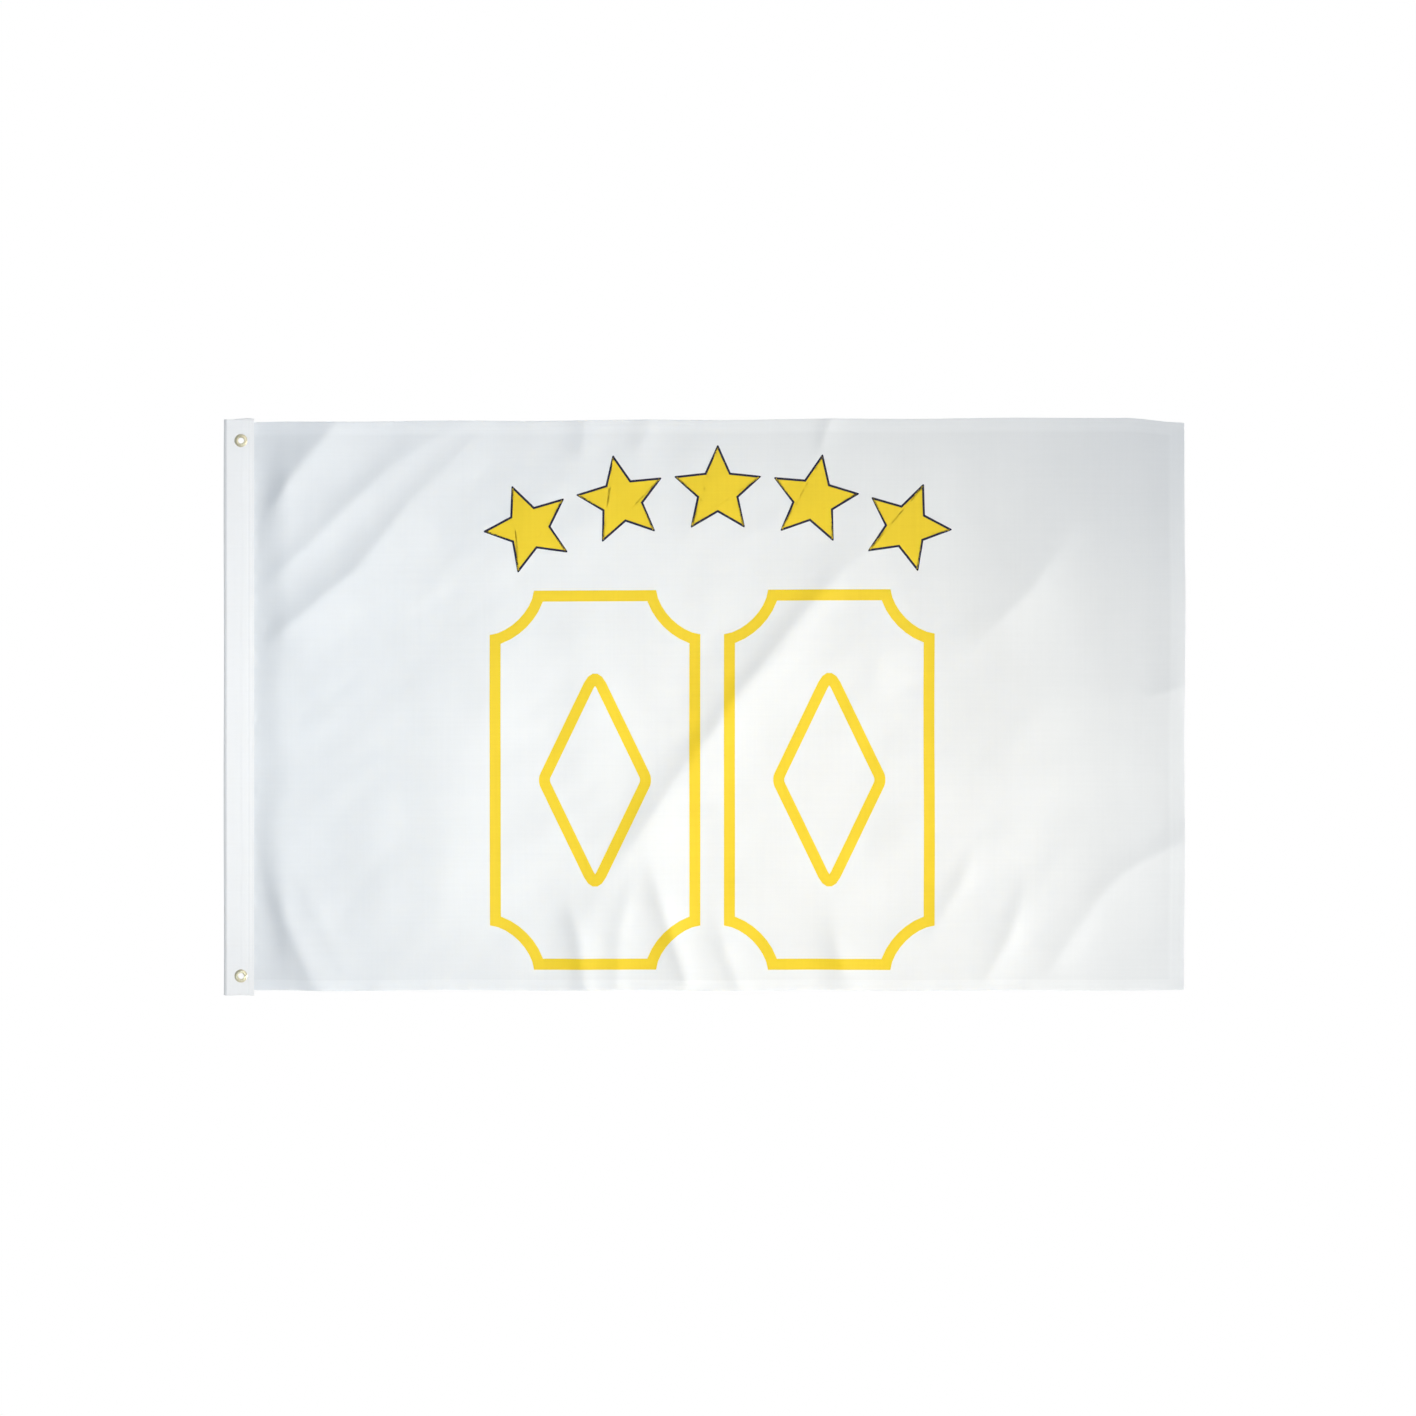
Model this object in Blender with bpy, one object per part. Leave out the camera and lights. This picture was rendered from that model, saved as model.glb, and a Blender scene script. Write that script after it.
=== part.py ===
"""A rectangular hoist flag: hemmed polyester cloth on a folded canvas header with two grommets.

Metres, +Z up. +X runs from the hoist edge to the fly edge, and the front of the flag faces -Y.
The origin is the centre of the top grommet's hole, half-way through the header.
"""

import math

import bmesh
import bpy
from mathutils import Vector

# Overall size of the finished flag
FLAG_LENGTH = 1.524
FLAG_HEIGHT = 0.9144

# Header: a canvas tape folded over the hoist edge of the cloth
HEADER_WIDTH = 0.0476
CANVAS_THICKNESS = 0.0006
CLOTH_IN_HEADER = 0.0186
CLOTH_BELOW_HEADER_TOP = 0.0048
CLOTH_ABOVE_HEADER_END = 0.0087

# Cloth and its rolled hems, which fold to the back
CLOTH_THICKNESS = 0.0004
HEM_FOLD_THICKNESS = 0.0004
HEM_STEP = 0.0008
EDGE_HEM_WIDTH = 0.017
EDGE_HEM_ROWS = (0.0065, 0.0145)
FLY_HEM_WIDTH = 0.021
FLY_HEM_ROWS = (0.0085, 0.0185)

# Sewing thread, laid along the front (needle thread) and the back (bobbin thread) of each row
THREAD_DIAMETER = 0.0006
HEADER_ROWS = (0.003, 0.0086)
THREAD_FROM_HEADER_END = 0.003
THREAD_FROM_CLOTH_EDGE = 0.0015
HEM_THREAD_FROM_SEAM = 0.004

# Grommets: an eyelet whose barrel passes through the header and curls over a washer
GROMMET_FROM_HEADER_EDGE = 0.0206
GROMMET_FROM_HEADER_TOP = 0.0335
GROMMET_FROM_HEADER_END = 0.031
BORE_RADIUS = 0.00475
BARREL_WALL = 0.0005
FLANGE_WIDTH = 0.00505
FLANGE_CROWN = 0.0013
CURL_WIDTH = 0.00165
CURL_HEIGHT = 0.00055
CURL_CLEARANCE = 0.0004
WASHER_SEAT_THICKNESS = 0.0005
WASHER_RIM_WIDTH = 0.00245
WASHER_PROUD = 0.0002
WASHER_ROUND = 0.0003
TURNING_STEPS = 24

# Space left between pieces that touch, and between the header's edge and the cloth that swings
TOUCH_GAP = 0.0003
SWING_GAP = 0.0007

# How the cloth hangs: its top edge climbs towards the fly and the fly corner drops back
TOP_RISE = 0.008
CORNER_DROP = 0.009
CORNER_REACH = 0.1
STILL_REACH = 0.09
GRID_PITCH = 0.05

# Broad soft folds: start and end of the crest in (distance from the seam, height),
# then how far it stands out towards the front and its half width
FOLDS = (
    ((0.12, 0.00), (0.03, -0.20), 0.010, 0.060),
    ((0.05, -0.62), (0.08, -0.84), 0.012, 0.060),
    ((0.30, -0.28), (0.28, -0.60), 0.007, 0.140),
    ((0.34, -0.04), (0.72, -0.14), 0.006, 0.140),
    ((0.93, -0.22), (0.60, -0.64), 0.010, 0.085),
    ((0.50, -0.40), (0.72, -0.60), 0.004, 0.200),
    ((1.20, -0.20), (1.46, -0.30), 0.007, 0.110),
    ((1.02, -0.46), (1.08, -0.72), 0.010, 0.170),
    ((1.24, -0.36), (1.20, -0.54), 0.006, 0.100),
    ((0.55, -0.86), (0.80, -0.86), 0.005, 0.080),
)

# Worked out from the sizes above
HEADER_X = GROMMET_FROM_HEADER_EDGE
HOIST_X = HEADER_X - HEADER_WIDTH
SEAM_X = HEADER_X + SWING_GAP
CLOTH_LENGTH = HOIST_X + FLAG_LENGTH - SEAM_X
HEADER_TOP = GROMMET_FROM_HEADER_TOP
HEADER_END = HEADER_TOP - FLAG_HEIGHT
CLOTH_TOP = HEADER_TOP - CLOTH_BELOW_HEADER_TOP
CLOTH_BOTTOM = HEADER_END + CLOTH_ABOVE_HEADER_END
LOWER_GROMMET_Z = HEADER_END + GROMMET_FROM_HEADER_END
POCKET_HALF = CLOTH_THICKNESS / 2 + TOUCH_GAP
HEADER_HALF = POCKET_HALF + CANVAS_THICKNESS
BARREL_RADIUS = BORE_RADIUS + BARREL_WALL
HOLE_RADIUS = BARREL_RADIUS + TOUCH_GAP
FLANGE_RADIUS = BARREL_RADIUS + FLANGE_WIDTH
CURL_RADIUS = BARREL_RADIUS + CURL_WIDTH
WASHER_SEAT_RADIUS = CURL_RADIUS + CURL_CLEARANCE
WASHER_RADIUS = WASHER_SEAT_RADIUS + WASHER_RIM_WIDTH
THREAD_RADIUS = THREAD_DIAMETER / 2


def clear_scene():
    for obj in list(bpy.data.objects):
        bpy.data.objects.remove(obj, do_unlink=True)


def surface(name, colour, roughness, metallic=0.0):
    """A plain Principled material."""
    mat = bpy.data.materials.new(name)
    mat.use_nodes = True
    shader = mat.node_tree.nodes["Principled BSDF"]
    shader.inputs["Base Color"].default_value = (*colour, 1.0)
    shader.inputs["Roughness"].default_value = roughness
    shader.inputs["Metallic"].default_value = metallic
    return mat


def empty(name, location):
    """An empty whose origin is a body's reference point, or the axis it turns on."""
    obj = bpy.data.objects.new(name, None)
    obj.location = location
    bpy.context.collection.objects.link(obj)
    return obj


def add_object(name, data, parent, mat):
    """Links an object that stands in its parent's frame."""
    obj = bpy.data.objects.new(name, data)
    if not data.materials:
        data.materials.append(mat)
    obj.parent = parent
    bpy.context.collection.objects.link(obj)
    return obj


def mesh_from(bm, name, smooth_angle=None):
    """Turns the faces outwards and stores them as a mesh."""
    bmesh.ops.recalc_face_normals(bm, faces=bm.faces)
    mesh = bpy.data.meshes.new(name)
    bm.to_mesh(mesh)
    bm.free()
    if smooth_angle is not None:
        mesh.shade_smooth()
        mesh.set_sharp_from_angle(angle=smooth_angle)
    return mesh


def ramp(value):
    """0 below 0, 1 above 1, with a smooth climb between."""
    value = min(max(value, 0.0), 1.0)
    return value * value * (3 - 2 * value)


def evenly(start, stop, pitch):
    """Values from start to stop at about the pitch, both ends included."""
    count = max(1, round(abs(stop - start) / pitch))
    return [start + (stop - start) * i / count for i in range(count + 1)]


# Cloth. s is the distance from the seam at the header, t the height.


def fold_offset(s, t):
    """How far the folds carry the cloth towards the front at (s, t)."""
    offset = 0.0
    point = Vector((s, t))
    for start, end, height, half_width in FOLDS:
        start, end = Vector(start), Vector(end)
        along = (point - start).dot(end - start) / (end - start).length_squared
        nearest = start.lerp(end, min(max(along, 0.0), 1.0))
        offset += height * math.exp(-(((point - nearest).length / half_width) ** 2))
    return offset * ramp(s / STILL_REACH)


def cloth_point(s, t):
    """The middle of the cloth at (s, t), in the frame of the seam."""
    up = (t - CLOTH_BOTTOM) / (CLOTH_TOP - CLOTH_BOTTOM)
    near_top = ramp((t - CLOTH_TOP) / CORNER_REACH + 1)
    near_fly = ramp((s - CLOTH_LENGTH) / CORNER_REACH + 1)
    rise = TOP_RISE * up * s / CLOTH_LENGTH - CORNER_DROP * near_top * near_fly
    return Vector((s, -fold_offset(s, t), t + rise))


def across_lines():
    """The cloth's grid lines from the seam to the fly edge."""
    hem_edge = CLOTH_LENGTH - FLY_HEM_WIDTH
    field = evenly(2 * HEM_THREAD_FROM_SEAM, hem_edge - HEM_STEP, GRID_PITCH)
    rows = [CLOTH_LENGTH - row for row in reversed(FLY_HEM_ROWS)]
    return [0.0, HEM_THREAD_FROM_SEAM, *field, hem_edge, *rows, CLOTH_LENGTH]


def upright_lines():
    """The cloth's grid lines from the bottom edge to the top edge."""
    low = [CLOTH_BOTTOM, *(CLOTH_BOTTOM + row for row in EDGE_HEM_ROWS), CLOTH_BOTTOM + EDGE_HEM_WIDTH]
    high = [CLOTH_TOP, *(CLOTH_TOP - row for row in EDGE_HEM_ROWS), CLOTH_TOP - EDGE_HEM_WIDTH]
    return [*low, *evenly(low[-1] + HEM_STEP, high[-1] - HEM_STEP, GRID_PITCH), *reversed(high)]


def in_hem(s, t):
    """True on the hems and False on the single cloth between them."""
    near_edge = min(CLOTH_TOP - t, t - CLOTH_BOTTOM) < EDGE_HEM_WIDTH + HEM_STEP / 2
    return near_edge or CLOTH_LENGTH - s < FLY_HEM_WIDTH + HEM_STEP / 2


def flag_cloth(parent, mat):
    """The cloth beyond the header: one sheet, thicker at the back where the hems fold over."""
    across, upright = across_lines(), upright_lines()
    bm = bmesh.new()
    thickness = bm.verts.layers.float.new("thickness")
    bmesh.ops.create_grid(bm, x_segments=len(across) - 1, y_segments=len(upright) - 1, size=1)
    for i, vert in enumerate(bm.verts):
        s, t = across[i % len(across)], upright[i // len(across)]
        vert.co = cloth_point(s, t) - Vector((0, CLOTH_THICKNESS / 2, 0))
        vert[thickness] = CLOTH_THICKNESS + (HEM_FOLD_THICKNESS if in_hem(s, t) else 0)
    back = bmesh.ops.extrude_face_region(bm, geom=bm.faces[:], use_keep_orig=True)
    for vert in (item for item in back["geom"] if isinstance(item, bmesh.types.BMVert)):
        vert.co.y += vert[thickness]
    return add_object("flag_cloth", mesh_from(bm, "flag_cloth", math.radians(40)), parent, mat)


def cloth_hoist_edge(parent, mat, hole_cutters):
    """The raw edge of the cloth that is sewn in between the header's two plies."""
    width = CLOTH_IN_HEADER - TOUCH_GAP
    bm = bmesh.new()
    bmesh.ops.create_cube(bm, size=1)
    bmesh.ops.scale(bm, vec=(width, CLOTH_THICKNESS, CLOTH_TOP - CLOTH_BOTTOM), verts=bm.verts)
    centre = (HEADER_X - TOUCH_GAP - width / 2, 0, (CLOTH_TOP + CLOTH_BOTTOM) / 2)
    bmesh.ops.translate(bm, vec=centre, verts=bm.verts)
    obj = add_object("cloth_hoist_edge", mesh_from(bm, "cloth_hoist_edge"), parent, mat)
    cut(obj, hole_cutters)
    return obj


# Header


def header_profile():
    """The folded tape from above: out along the front ply, round the hoist edge and back."""
    turn = Vector((HOIST_X + HEADER_HALF, 0))
    angles = [math.radians(270 - 22.5 * i) for i in range(9)]
    outer = [turn + HEADER_HALF * Vector((math.cos(a), math.sin(a))) for a in angles]
    inner = [turn + POCKET_HALF * Vector((math.cos(a), math.sin(a))) for a in angles]
    front = [Vector((HEADER_X, -POCKET_HALF)), Vector((HEADER_X, -HEADER_HALF))]
    back = [Vector((HEADER_X, HEADER_HALF)), Vector((HEADER_X, POCKET_HALF))]
    return [*front, *outer, *back, *reversed(inner)]


def header_tape(parent, mat, hole_cutters):
    """The canvas tape, folded over the hoist, with both plies pierced for the grommets."""
    bm = bmesh.new()
    outline = [bm.verts.new((p.x, p.y, HEADER_END)) for p in header_profile()]
    end = bm.faces.new(outline)
    top = bmesh.ops.extrude_face_region(bm, geom=[end], use_keep_orig=True)
    top_verts = [item for item in top["geom"] if isinstance(item, bmesh.types.BMVert)]
    bmesh.ops.translate(bm, vec=(0, 0, FLAG_HEIGHT), verts=top_verts)
    obj = add_object("header_tape", mesh_from(bm, "header_tape"), parent, mat)
    cut(obj, hole_cutters)
    return obj


def hole_cutter(name, z, parent):
    """A cylinder along Y that pierces the header where a grommet sits."""
    bm = bmesh.new()
    bmesh.ops.create_cone(
        bm,
        cap_ends=True,
        segments=TURNING_STEPS,
        radius1=HOLE_RADIUS,
        radius2=HOLE_RADIUS,
        depth=8 * HEADER_HALF,
    )
    obj = bpy.data.objects.new(name, mesh_from(bm, name))
    obj.location = (0, 0, z)
    obj.rotation_euler = (math.pi / 2, 0, 0)
    obj.parent = parent
    obj.display_type = "WIRE"
    obj.hide_render = True
    bpy.context.collection.objects.link(obj)
    return obj


def cut(obj, cutters):
    """Pierces the object with each cutter."""
    for cutter in cutters:
        hole = obj.modifiers.new(cutter.name, "BOOLEAN")
        hole.operation = "DIFFERENCE"
        hole.object = cutter


# Grommets. Their profiles are (radius, height) with the height towards the front of the flag.


def turned(name, profile):
    """A ring turned from a closed profile, with its axis along the mesh's Z."""
    bm = bmesh.new()
    verts = [bm.verts.new((radius, 0, height)) for radius, height in profile]
    edges = [bm.edges.new((vert, verts[i - 1])) for i, vert in enumerate(verts)]
    bmesh.ops.spin(
        bm,
        geom=verts + edges,
        axis=(0, 0, 1),
        cent=(0, 0, 0),
        angle=2 * math.pi,
        steps=TURNING_STEPS,
        use_merge=True,
    )
    return mesh_from(bm, name, math.radians(50))


def eyelet_mesh():
    """A rounded front flange, the barrel through the header, and the curl at the back."""
    face = HEADER_HALF + TOUCH_GAP
    seat = -face - WASHER_SEAT_THICKNESS - TOUCH_GAP
    slope = FLANGE_RADIUS - BORE_RADIUS
    return turned(
        "eyelet",
        [
            (BORE_RADIUS, face + 0.4 * FLANGE_CROWN),
            (BORE_RADIUS + 0.12 * slope, face + 0.85 * FLANGE_CROWN),
            (BORE_RADIUS + 0.35 * slope, face + FLANGE_CROWN),
            (BORE_RADIUS + 0.70 * slope, face + 0.8 * FLANGE_CROWN),
            (FLANGE_RADIUS - 0.03 * slope, face + 0.35 * FLANGE_CROWN),
            (FLANGE_RADIUS, face),
            (BARREL_RADIUS, face),
            (BARREL_RADIUS, seat),
            (CURL_RADIUS, seat),
            (BARREL_RADIUS + 0.75 * CURL_WIDTH, seat - 0.8 * CURL_HEIGHT),
            (BARREL_RADIUS + 0.2 * CURL_WIDTH, seat - CURL_HEIGHT),
            (BORE_RADIUS, seat - 0.3 * CURL_HEIGHT),
        ],
    )


def washer_mesh():
    """A dished washer: a low seat under the curl, and a flat rim that stands proud of it."""
    face = -HEADER_HALF - TOUCH_GAP
    seat = face - WASHER_SEAT_THICKNESS
    rim = seat - TOUCH_GAP - CURL_HEIGHT - WASHER_PROUD
    return turned(
        "washer",
        [
            (HOLE_RADIUS, face),
            (WASHER_RADIUS, face),
            (WASHER_RADIUS, rim + WASHER_ROUND),
            (WASHER_RADIUS - WASHER_ROUND, rim),
            (WASHER_SEAT_RADIUS + WASHER_ROUND, rim),
            (WASHER_SEAT_RADIUS, seat),
            (HOLE_RADIUS, seat),
        ],
    )


def grommet(prefix, z, parent, meshes, mat):
    """One eyelet and its washer, on an axis along Y."""
    for piece, mesh in meshes.items():
        obj = add_object(f"{prefix}_{piece}", mesh, parent, mat)
        obj.location = (0, 0, z)
        obj.rotation_euler = (math.pi / 2, 0, 0)


# Sewing thread


def thread(name, points, parent, mat):
    """One thread of a stitched row, as a thin bar through the points."""
    curve = bpy.data.curves.new(name, "CURVE")
    curve.dimensions = "3D"
    curve.bevel_depth = THREAD_RADIUS
    curve.bevel_resolution = 0
    curve.use_fill_caps = True
    spline = curve.splines.new("POLY")
    spline.points.add(len(points) - 1)
    for spline_point, point in zip(spline.points, points):
        spline_point.co = (*point, 1.0)
    add_object(name, curve, parent, mat)


def thread_pair(row, points, front, back, parent, mat):
    """The needle thread in front of the points and the bobbin thread behind them."""
    for kind, depth in (("needle", -front), ("bobbin", back)):
        shifted = [point + Vector((0, depth, 0)) for point in points]
        thread(f"{row}_{kind}_thread", shifted, parent, mat)


def header_stitching(parent, mat):
    """Two rows that close the header's open edge over the cloth."""
    clear = HEADER_HALF + TOUCH_GAP + THREAD_RADIUS
    for row, inset in zip(("header_edge", "header_inner"), HEADER_ROWS):
        x = HEADER_X - inset
        ends = [
            Vector((x, 0, HEADER_END + THREAD_FROM_HEADER_END)),
            Vector((x, 0, HEADER_TOP - THREAD_FROM_HEADER_END)),
        ]
        thread_pair(row, ends, clear, clear, parent, mat)


def hem_stitching(parent, mat):
    """Two rows along each hem, at the cloth's own grid lines so that they follow its folds."""
    front = CLOTH_THICKNESS / 2 + TOUCH_GAP + THREAD_RADIUS
    back = front + HEM_FOLD_THICKNESS
    fly_hem_edge = CLOTH_LENGTH - FLY_HEM_WIDTH
    across = [s for s in across_lines() if HEM_THREAD_FROM_SEAM <= s < fly_hem_edge]
    upright = [
        CLOTH_BOTTOM + THREAD_FROM_CLOTH_EDGE,
        *upright_lines()[1:-1],
        CLOTH_TOP - THREAD_FROM_CLOTH_EDGE,
    ]
    for place, edge_row, fly_row in zip(("edge", "inner"), EDGE_HEM_ROWS, FLY_HEM_ROWS):
        top = [cloth_point(s, CLOTH_TOP - edge_row) for s in across]
        bottom = [cloth_point(s, CLOTH_BOTTOM + edge_row) for s in across]
        fly = [cloth_point(CLOTH_LENGTH - fly_row, t) for t in upright]
        thread_pair(f"top_hem_{place}", top, front, back, parent, mat)
        thread_pair(f"bottom_hem_{place}", bottom, front, back, parent, mat)
        thread_pair(f"fly_hem_{place}", fly, front, back, parent, mat)


def build():
    clear_scene()
    cloth_mat = surface("white_polyester", (0.88, 0.90, 0.93), 0.55)
    canvas_mat = surface("white_canvas", (0.95, 0.95, 0.96), 0.85)
    brass_mat = surface("pale_brass", (0.78, 0.70, 0.50), 0.35, 1.0)
    thread_mat = surface("white_thread", (0.92, 0.92, 0.93), 0.6)

    header = empty("header", (0, 0, 0))
    swing = empty("cloth_swing", (SEAM_X, 0, 0))
    grommets = {"top_grommet": 0.0, "bottom_grommet": LOWER_GROMMET_Z}
    cutters = [hole_cutter(f"{name}_hole", z, header) for name, z in grommets.items()]

    header_tape(header, canvas_mat, cutters)
    cloth_hoist_edge(header, cloth_mat, cutters)
    meshes = {"eyelet": eyelet_mesh(), "washer": washer_mesh()}
    for name, z in grommets.items():
        grommet(name, z, header, meshes, brass_mat)
    header_stitching(header, thread_mat)
    flag_cloth(swing, cloth_mat)
    hem_stitching(swing, thread_mat)


build()
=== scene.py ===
"""A white rectangular hoist flag, spread out and facing -Y, on a canvas header with two grommets."""

import math

import bpy
import numpy as np
from mathutils import Matrix, Vector


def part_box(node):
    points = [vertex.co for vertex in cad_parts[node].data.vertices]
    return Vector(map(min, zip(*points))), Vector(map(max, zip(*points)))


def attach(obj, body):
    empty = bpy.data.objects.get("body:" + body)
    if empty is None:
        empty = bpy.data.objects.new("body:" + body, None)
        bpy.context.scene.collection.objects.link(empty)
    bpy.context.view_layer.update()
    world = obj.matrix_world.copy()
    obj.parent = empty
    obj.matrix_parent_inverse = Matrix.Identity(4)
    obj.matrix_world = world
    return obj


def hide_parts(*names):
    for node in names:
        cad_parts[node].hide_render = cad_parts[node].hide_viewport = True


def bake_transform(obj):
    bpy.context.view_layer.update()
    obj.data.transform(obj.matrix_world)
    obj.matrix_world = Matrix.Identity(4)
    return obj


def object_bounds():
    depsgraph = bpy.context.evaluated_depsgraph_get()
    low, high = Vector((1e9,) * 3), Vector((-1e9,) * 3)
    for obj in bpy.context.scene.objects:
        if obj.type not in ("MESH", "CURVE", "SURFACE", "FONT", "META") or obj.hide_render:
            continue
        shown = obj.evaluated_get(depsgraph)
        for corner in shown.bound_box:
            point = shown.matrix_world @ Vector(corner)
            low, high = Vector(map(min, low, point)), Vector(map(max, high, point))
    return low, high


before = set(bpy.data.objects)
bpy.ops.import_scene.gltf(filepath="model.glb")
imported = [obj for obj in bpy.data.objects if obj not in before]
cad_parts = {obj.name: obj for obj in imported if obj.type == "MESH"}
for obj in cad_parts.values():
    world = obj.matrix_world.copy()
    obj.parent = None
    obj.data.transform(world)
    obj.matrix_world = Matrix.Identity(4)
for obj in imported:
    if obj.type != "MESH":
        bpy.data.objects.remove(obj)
cad_low, cad_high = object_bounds()
bpy.ops.object.select_all(action="DESELECT")


# The studio. The camera stands square in front of the flag, a long way back, so that the
# hems stay straight. The key softbox rakes across the cloth from low on the fly side, weak
# ones and a cool sky fill in, and a pale floor lies well below.
CAMERA_BACK = 7.0
VIEW_WIDTH = 2.248
SENSOR_WIDTH = 36
AIM_SHIFT = Vector((0.0064, 0, -0.0021))
FLOOR_RADIUS, FLOOR_HEIGHT = 7, -2.7

flag_middle = (cad_low + cad_high) / 2
aim = Vector((flag_middle.x, 0, flag_middle.z)) + AIM_SHIFT
bpy.ops.object.camera_add(location=aim - Vector((0, CAMERA_BACK, 0)), rotation=(math.pi / 2, 0, 0))
camera = bpy.context.object
camera.name = "studio_camera"
camera.data.sensor_width = SENSOR_WIDTH
camera.data.lens = SENSOR_WIDTH * CAMERA_BACK / VIEW_WIDTH
camera.data.clip_start, camera.data.clip_end = 0.1, 60
bpy.context.scene.camera = camera
bpy.context.scene.view_settings.view_transform = "Standard"
bpy.context.scene.view_settings.look = "None"


def softbox(name, place, target, size, power, colour, spread=180):
    """A square area light of so many metres and watts, aimed at a target."""
    bpy.ops.object.light_add(type="AREA", location=place)
    lamp = bpy.context.object
    lamp.name = name
    lamp.rotation_euler = (Vector(target) - Vector(place)).to_track_quat("-Z", "Y").to_euler()
    lamp.data.shape = "SQUARE"
    lamp.data.size = size
    lamp.data.energy = power
    lamp.data.color = colour
    lamp.data.spread = math.radians(spread)
    lamp.visible_camera = False


softbox("key_softbox", (5.0, -3.9, -2.2), (0.60, 0, -0.54), 1.0, 4.9, (1.0, 0.985, 0.94), 24)
softbox("warm_softbox", (1.0, -5.4, -1.6), (0.90, 0, -0.55), 0.5, 0.46, (1.0, 0.74, 0.24), 20)
softbox("cool_softbox", (0.0, -5.4, -1.6), (0.05, 0, -0.42), 0.5, 0.50, (0.72, 0.88, 1.0), 22)
softbox("front_softbox", (1.5, -5.0, 1.6), (1.0, 0, -0.3), 2.5, 46, (1.0, 0.98, 0.95))
softbox("rear_softbox", (-2.4, 3.4, 0.9), (0.75, 0, -0.4), 1.2, 17, (1.0, 0.985, 0.96), 70)


def new_material(name, metallic=0.0, specular=0.5):
    """A material with only its Principled shader and output, and that shader."""
    made = bpy.data.materials.new(name)
    made.use_nodes = True
    shader = made.node_tree.nodes["Principled BSDF"]
    shader.inputs["Metallic"].default_value = metallic
    shader.inputs["Specular IOR Level"].default_value = specular
    return made, shader


def add_node(made, kind, settings=(), **links):
    """A node in a material, world or group, with its inputs linked to a socket or set to a value.

    An input is given by its name, with _ for a space, or as i and its number.
    """
    tree = made.node_tree if hasattr(made, "node_tree") else made
    node = tree.nodes.new(kind)
    for key, value in dict(settings).items():
        setattr(node, key, value)
    for key, value in links.items():
        numbered = key[0] == "i" and key[1:].isdigit()
        socket = node.inputs[int(key[1:]) if numbered else key.replace("_", " ")]
        if isinstance(value, bpy.types.NodeSocket):
            tree.links.new(value, socket)
        else:
            socket.default_value = value
    return node


sky = bpy.data.worlds.new("studio_sky")
sky.use_nodes = True
sky.node_tree.nodes.clear()
bpy.context.scene.world = sky
backdrop = add_node(sky, "ShaderNodeBackground", Color=(1.0, 1.0, 1.0, 1), Strength=1.0)
glow = add_node(sky, "ShaderNodeBackground", Color=(0.80, 0.89, 1.0, 1), Strength=0.465)
seen = add_node(sky, "ShaderNodeLightPath").outputs["Is Camera Ray"]
either = add_node(sky, "ShaderNodeMixShader", i0=seen, i1=glow.outputs[0], i2=backdrop.outputs[0])
add_node(sky, "ShaderNodeOutputWorld", Surface=either.outputs[0])

bpy.ops.mesh.primitive_circle_add(
    vertices=96, radius=FLOOR_RADIUS, fill_type="TRIFAN", location=(flag_middle.x, 0, FLOOR_HEIGHT)
)
floor = bpy.context.object
floor.name = "studio_floor"
floor_paint, shader = new_material("floor_paint", specular=0.1)
place = add_node(floor_paint, "ShaderNodeTexCoord").outputs["Object"]
cloudy = add_node(floor_paint, "ShaderNodeTexNoise", Vector=place, Scale=1.5, Detail=2.0)
tone = add_node(floor_paint, "ShaderNodeMapRange", Value=cloudy.outputs["Fac"], To_Min=0.84, To_Max=0.87)
reach = add_node(floor_paint, "ShaderNodeVectorMath", {"operation": "LENGTH"}, i0=place)
fade = add_node(
    floor_paint, "ShaderNodeMapRange", {"interpolation_type": "SMOOTHSTEP"},
    Value=reach.outputs["Value"], From_Min=1.5, From_Max=6.8, To_Min=1.0, To_Max=0.0,
)
floor_paint.node_tree.links.new(tone.outputs[0], shader.inputs["Base Color"])
floor_paint.node_tree.links.new(fade.outputs[0], shader.inputs["Alpha"])
shader.inputs["Roughness"].default_value = 0.9
shader.inputs["Emission Color"].default_value = (1.0, 0.96, 0.90, 1)
shader.inputs["Emission Strength"].default_value = 0.26
floor.data.materials.append(floor_paint)
bpy.ops.object.select_all(action="DESELECT")


# The cloth: one width of white woven polyester. Its top, bottom and fly edges are turned to
# the back and hemmed, and its raw hoist edge goes in between the two plies of the header.
# It hangs from the header alone, so soft folds and creases run slanting across it.
PLY = 0.00028
HEM_WIDTH, HEM_ROWS = 0.017, (0.0065, 0.0145)
FLY_HEM_WIDTH, FLY_HEM_ROWS = 0.021, (0.0085, 0.0185)
EDGE_NOSE, FLY_NOSE = 0.00055, 0.0009
ROW_DENT, DENT_SIDE = 0.00016, 0.0012
ROW_SIDE = 0.0013
CLOTH_PITCH = 0.0061
NOTCH_RADIUS = 0.0066
NEAR = 1e-5
SOFT_EDGE = math.radians(50)
CLOTH_THREADS, CLOTH_SLUB = 1700, 0.30

seam_x, fly_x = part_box("flag_cloth")[0].x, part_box("flag_cloth")[1].x
tucked_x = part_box("cloth_hoist_edge")[0].x
cloth_foot, cloth_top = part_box("cloth_hoist_edge")[0].z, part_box("cloth_hoist_edge")[1].z
header_edge_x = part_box("header_tape")[1].x
eyelets = [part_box(f"{end}_grommet_eyelet") for end in ("top", "bottom")]
grommet_heights = [(low.z + high.z) / 2 for low, high in eyelets]


def spaced(marks, pitch):
    """Grid lines at every mark, and evenly between them, no further apart than pitch."""
    marks = sorted(marks)
    found = [marks[0]]
    for low, high in zip(marks, marks[1:]):
        steps = max(1, math.ceil((high - low) / pitch - 1e-6))
        found += [low + (high - low) * (i + 1) / steps for i in range(steps)]
    return np.array(found)


def row_marks(rows):
    """Each row of stitching, with a mark close on either side of it for the dent that it makes."""
    return [r + d for r in rows for d in (-ROW_SIDE, 0, ROW_SIDE)]


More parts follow.
